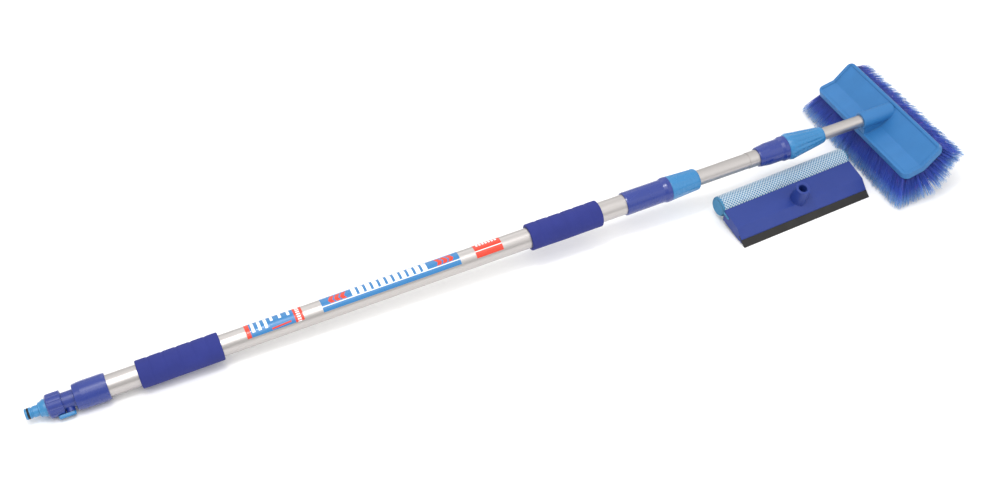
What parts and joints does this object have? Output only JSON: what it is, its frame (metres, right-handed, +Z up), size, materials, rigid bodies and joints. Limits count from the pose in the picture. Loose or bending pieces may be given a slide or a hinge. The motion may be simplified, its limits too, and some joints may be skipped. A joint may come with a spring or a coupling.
{
  "type": "telescopic window cleaning pole set",
  "caption": "Telescopic water-fed pole with twist locks, foam grips, ball valve and hose tail, a bi-level brush on its end, and a separate squeegee and sponge head.",
  "frame": {"origin": "centre of the bounding box's footprint, on the floor that the set lies on", "axes": "+X horizontal from the hose end towards the brush, +Z up, +Y away from the side that the squeegee head lies on"},
  "size_m": [1.4562, 0.276, 0.096],
  "materials": {
    "pale_blue_plastic": "satin",
    "light_blue_plastic": "satin",
    "blue_plastic": "satin",
    "white_plastic": "matt",
    "seal_rubber": "matt",
    "screw_steel": "brushed",
    "tube_aluminium": "satin anodised",
    "grip_foam": "matt",
    "label_film": "gloss",
    "orange_film": "gloss",
    "brush_plastic": "matt",
    "bristle_fibre": "matt",
    "blade_rubber": "matt",
    "sponge_foam": "open foam",
    "net_fabric": "woven"
  },
  "bodies": {
    "lower_section": {"hose_tail": "pale_blue_plastic", "hose_tail_o_ring": "seal_rubber", "hose_washer": "seal_rubber", "valve_body": "blue_plastic", "valve_seat_front": "white_plastic", "valve_seat_rear": "white_plastic", "end_sleeve": "blue_plastic", "end_plug": "blue_plastic", "end_plug_o_ring": "seal_rubber", "outer_tube": "tube_aluminium", "rear_foam_grip": "grip_foam", "front_foam_grip": "grip_foam", "instruction_label": "label_film", "range_label": "label_film", "small_label": "orange_film", "lower_lock_body": "blue_plastic", "lower_lock_collet": "white_plastic"},
    "hose_union": {"hose_nut": "blue_plastic"},
    "valve_tap": {"valve_ball": "white_plastic", "valve_stem": "white_plastic", "stem_o_ring": "seal_rubber", "valve_lever": "light_blue_plastic", "lever_screw": "screw_steel"},
    "lower_clamp": {"lower_lock_nut": "light_blue_plastic"},
    "middle_carriage": {"middle_piston": "white_plastic", "middle_piston_o_ring": "seal_rubber"},
    "middle_section": {"middle_tube": "tube_aluminium", "middle_tube_ferrule": "tube_aluminium", "upper_lock_body": "blue_plastic", "upper_lock_collet": "white_plastic"},
    "upper_clamp": {"upper_lock_nut": "light_blue_plastic"},
    "upper_carriage": {"upper_piston": "white_plastic", "upper_piston_o_ring": "seal_rubber"},
    "upper_section": {"inner_tube": "tube_aluminium", "head_plug": "white_plastic", "head_plug_o_ring": "seal_rubber"},
    "brush_head": {"brush_block": "brush_plastic", "spray_nozzle": "white_plastic", "near_bristles": "bristle_fibre", "far_bristles": "bristle_fibre"},
    "squeegee_head": {"squeegee_body": "blue_plastic", "squeegee_blade": "blade_rubber", "sponge_roll": "sponge_foam", "sponge_net": "net_fabric"}
  },
  "joints": [
    {"name": "hose_nut_turn", "type": "hinge", "parent": "lower_section", "child": "hose_union", "pos_m": [-0.68784, 0, 0.01828], "axis": [0.9989, 0, 0.0462], "continuous": true},
    {"name": "valve_turn", "type": "hinge", "parent": "lower_section", "child": "valve_tap", "pos_m": [-0.66883, -0.01638, 0.00767], "axis": [-0.0265, 0.8192, 0.573], "range_deg": [0, 90]},
    {"name": "lower_nut_turn", "type": "hinge", "parent": "lower_section", "child": "lower_clamp", "pos_m": [0.29611, 0, 0.06377], "axis": [0.9989, 0, 0.0462], "range_deg": [0, 180]},
    {"name": "middle_slide", "type": "slide", "parent": "lower_section", "child": "middle_carriage", "axis": [0.9989, 0, 0.0462], "range_m": [0, 0.78]},
    {"name": "middle_spin", "type": "hinge", "parent": "middle_carriage", "child": "middle_section", "pos_m": [0.17124, 0, 0.05799], "axis": [0.9989, 0, 0.0462], "continuous": true},
    {"name": "upper_nut_turn", "type": "hinge", "parent": "middle_section", "child": "upper_clamp", "pos_m": [0.51887, 0, 0.07407], "axis": [0.9989, 0, 0.0462], "range_deg": [0, 180]},
    {"name": "upper_slide", "type": "slide", "parent": "middle_section", "child": "upper_carriage", "axis": [0.9989, 0, 0.0462], "range_m": [0, 0.78]},
    {"name": "upper_spin", "type": "hinge", "parent": "upper_carriage", "child": "upper_section", "pos_m": [0.57081, 0, 0.07647], "axis": [0.9989, 0, 0.0462], "continuous": true},
    {"name": "brush_pull", "type": "slide", "parent": "upper_section", "child": "brush_head", "axis": [0.9989, 0, 0.0462], "range_m": [0, 0.1]},
    {"name": "squeegee_move", "type": "slide", "parent": "lower_section", "child": "squeegee_head", "axis": [0, -1, 0], "range_m": [0, 0.3]}
  ]
}
